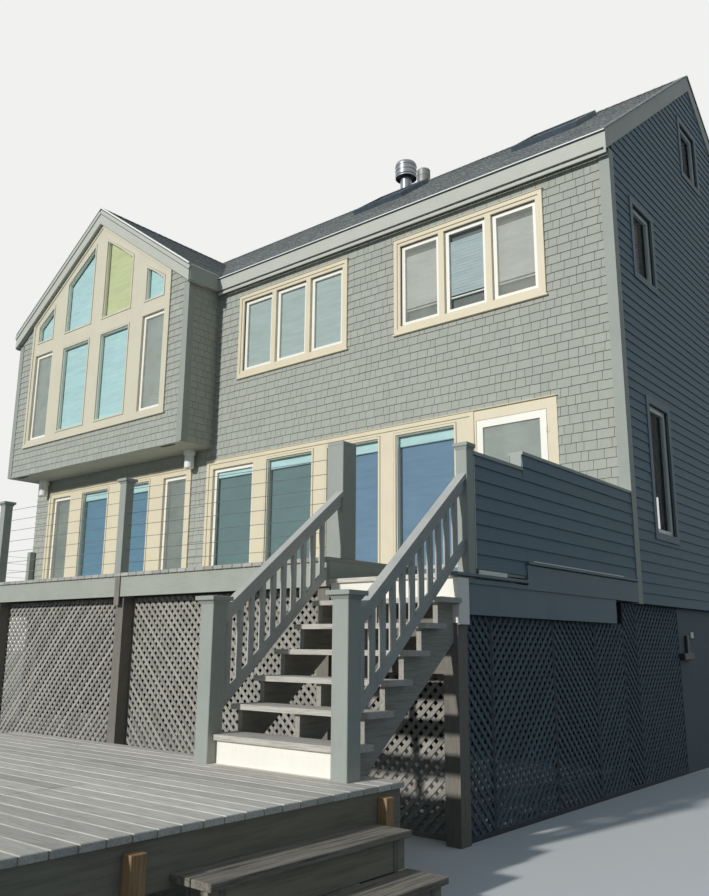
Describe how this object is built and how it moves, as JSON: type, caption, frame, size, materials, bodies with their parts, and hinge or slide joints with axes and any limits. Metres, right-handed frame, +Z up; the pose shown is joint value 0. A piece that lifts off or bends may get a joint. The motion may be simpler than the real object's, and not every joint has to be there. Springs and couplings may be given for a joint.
{
  "type": "beach house",
  "caption": "Two-storey shingled beach house on a raised lattice base, with a cantilevered gabled bay, cable-railed deck, open-riser stair and low platform",
  "frame": {"origin": "centre of the whole outline, on the ground", "axes": "+X to the right along the front wall seen from the deck, +Y from the deck to the back, +Z up"},
  "size_m": [13.895, 15.18, 11.7498],
  "materials": {
    "grey_shingle_wall": "weathered grey cedar shingle, matt",
    "grey_clapboard_wall": "grey paint over clapboards, matt",
    "grey_paint": "grey exterior paint on wood, low sheen",
    "cream_trim": "cream exterior paint on wood, satin",
    "white_paint": "white exterior paint on wood, satin",
    "roof_shingle": "dark grey asphalt shingle with mineral grains, rough",
    "deck_boards": "weathered grey deck boards, rough",
    "bare_timber": "bare weathered timber, rough",
    "lattice_timber": "thin grey-stained lath, matt",
    "clear_glass": "clear window glass, smooth",
    "steel_cable": "bright wire rope",
    "flue_metal": "bright ribbed sheet metal",
    "dark_metal": "dark bronze paint on metal, satin",
    "lamp_plastic": "white weatherproof lamp housing",
    "floor_timber": "plain timber floor, matt"
  },
  "bodies": {
    "house": {"back_wall": "grey_clapboard_wall", "base_walls": "grey_paint", "bay_front_wall": "grey_shingle_wall", "bay_lamps": "lamp_plastic", "bay_rake_boards": "grey_paint", "bay_roof": "roof_shingle", "bay_room_windows": "cream_trim", "bay_side_walls": "grey_shingle_wall", "bay_window": "cream_trim", "corner_boards": "grey_paint", "deck_fascia": "grey_paint", "deck_framing": "bare_timber", "deck_posts": "bare_timber", "deck_surface": "deck_boards", "door_frame": "cream_trim", "floors": "floor_timber", "flue_and_vent": "flue_metal", "front_lattice": "lattice_timber", "front_wall_lower": "grey_shingle_wall", "front_wall_upper": "grey_shingle_wall", "gable_walls": "grey_clapboard_wall", "house_piles": "bare_timber", "landing_rim": "grey_paint", "main_window_wall": "cream_trim", "newel_posts": "grey_paint", "plain_window_frames": "grey_paint", "platform_boards": "deck_boards", "platform_skirt": "bare_timber", "platform_supports": "bare_timber", "rail_cables": "steel_cable", "rail_posts": "grey_paint", "ridge_cap": "roof_shingle", "riser_boards": "white_paint", "roof_back": "roof_shingle", "roof_front": "roof_shingle", "roof_trim": "grey_paint", "screen_wall": "grey_clapboard_wall", "side_lattice": "lattice_timber", "skylight_curbs": "dark_metal", "skylight_glass": "clear_glass", "stair_balustrades": "grey_paint", "stair_stringers": "bare_timber", "stair_treads": "deck_boards", "triple_window_frames": "cream_trim", "window_glass": "clear_glass", "window_sashes": "white_paint"},
    "door": {"door_leaf": "white_paint", "door_pane": "clear_glass", "door_handle": "dark_metal"}
  },
  "joints": [
    {"name": "deck_door_hinge", "type": "hinge", "parent": "house", "child": "door", "pos_m": [5.1175, 0.0757, 3.4], "axis": [0, 0, 1], "range_deg": [0, 100]}
  ]
}
